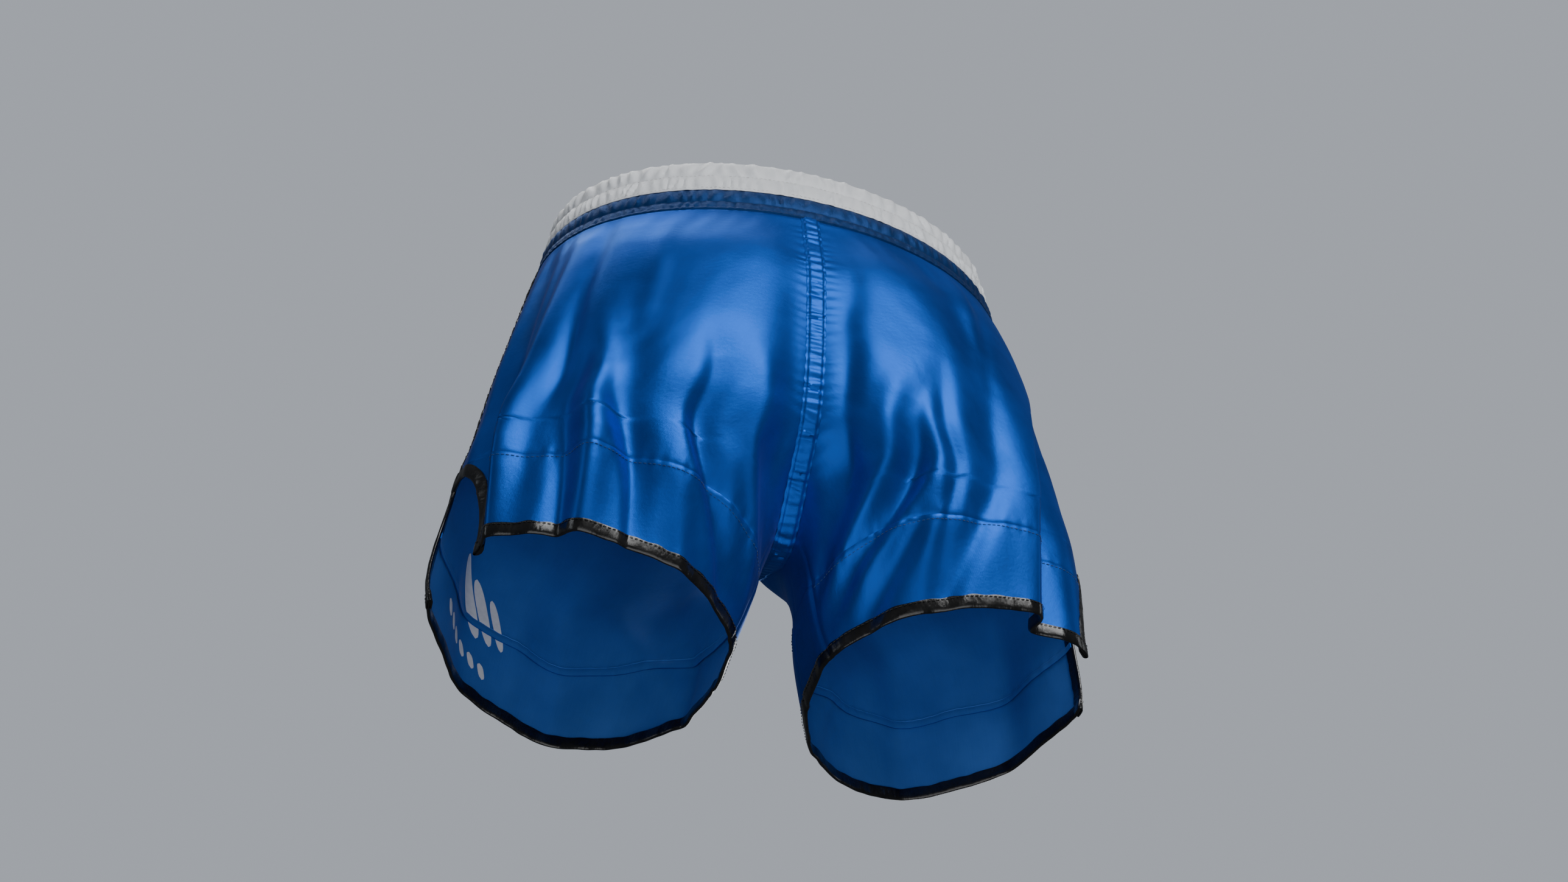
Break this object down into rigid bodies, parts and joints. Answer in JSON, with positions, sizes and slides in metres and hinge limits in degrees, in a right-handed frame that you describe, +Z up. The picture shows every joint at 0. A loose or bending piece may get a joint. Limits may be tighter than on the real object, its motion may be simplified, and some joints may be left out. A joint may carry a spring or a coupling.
{
  "type": "boxing shorts",
  "caption": "Loose satin boxing shorts held open as worn, with an elastic waistband, bound hems, side ribbons and side vents.",
  "frame": {"origin": "centre of the waist opening, level with its top edge at the sides", "axes": "+Z up, -Y towards the wearer's front, +X towards the wearer's left"},
  "size_m": [0.4402, 0.2417, 0.3953],
  "materials": {
    "satin_blue": "royal blue satin, soft sheen",
    "band_white": "white satin, gathered on elastic",
    "band_blue": "royal blue satin, gathered on elastic",
    "trim_black": "glossy black satin ribbon and binding",
    "elastic_tape": "woven elastic tape",
    "eyelet_metal": "pressed metal eyelet"
  },
  "bodies": {
    "seat": {"white_band_cover": "band_white", "blue_band_cover": "band_blue", "waistband_lining": "band_blue", "elastic_tape_1": "elastic_tape", "elastic_tape_2": "elastic_tape", "elastic_tape_3": "elastic_tape", "elastic_tape_4": "elastic_tape", "drawcord_eyelets": "eyelet_metal", "back_centre_seam": "satin_blue", "front_centre_seam": "satin_blue", "left_back_seat_panel": "satin_blue", "left_front_seat_panel": "satin_blue", "left_side_ribbon": "trim_black", "left_bartack": "trim_black", "left_back_vent_binding_top": "trim_black", "left_front_vent_binding_top": "trim_black", "right_back_seat_panel": "satin_blue", "right_front_seat_panel": "satin_blue", "right_side_ribbon": "trim_black", "right_bartack": "trim_black", "right_back_vent_binding_top": "trim_black", "right_front_vent_binding_top": "trim_black"},
    "left_leg": {"left_back_leg_panel": "satin_blue", "left_front_leg_panel": "satin_blue", "left_gusset": "satin_blue", "left_back_hem_band": "satin_blue", "left_front_hem_band": "satin_blue", "left_gusset_hem_band": "satin_blue", "left_back_vent_binding": "trim_black", "left_front_vent_binding": "trim_black", "left_hem_binding": "trim_black"},
    "right_leg": {"right_back_leg_panel": "satin_blue", "right_front_leg_panel": "satin_blue", "right_gusset": "satin_blue", "right_back_hem_band": "satin_blue", "right_front_hem_band": "satin_blue", "right_gusset_hem_band": "satin_blue", "right_back_vent_binding": "trim_black", "right_front_vent_binding": "trim_black", "right_hem_binding": "trim_black"}
  },
  "joints": [
    {"name": "left_leg_swing", "type": "hinge", "parent": "seat", "child": "left_leg", "pos_m": [0.105, -0.007, -0.158], "axis": [-1, 0, 0], "range_deg": [-15, 35]},
    {"name": "right_leg_swing", "type": "hinge", "parent": "seat", "child": "right_leg", "pos_m": [-0.105, -0.007, -0.158], "axis": [-1, 0, 0], "range_deg": [-15, 35]}
  ]
}
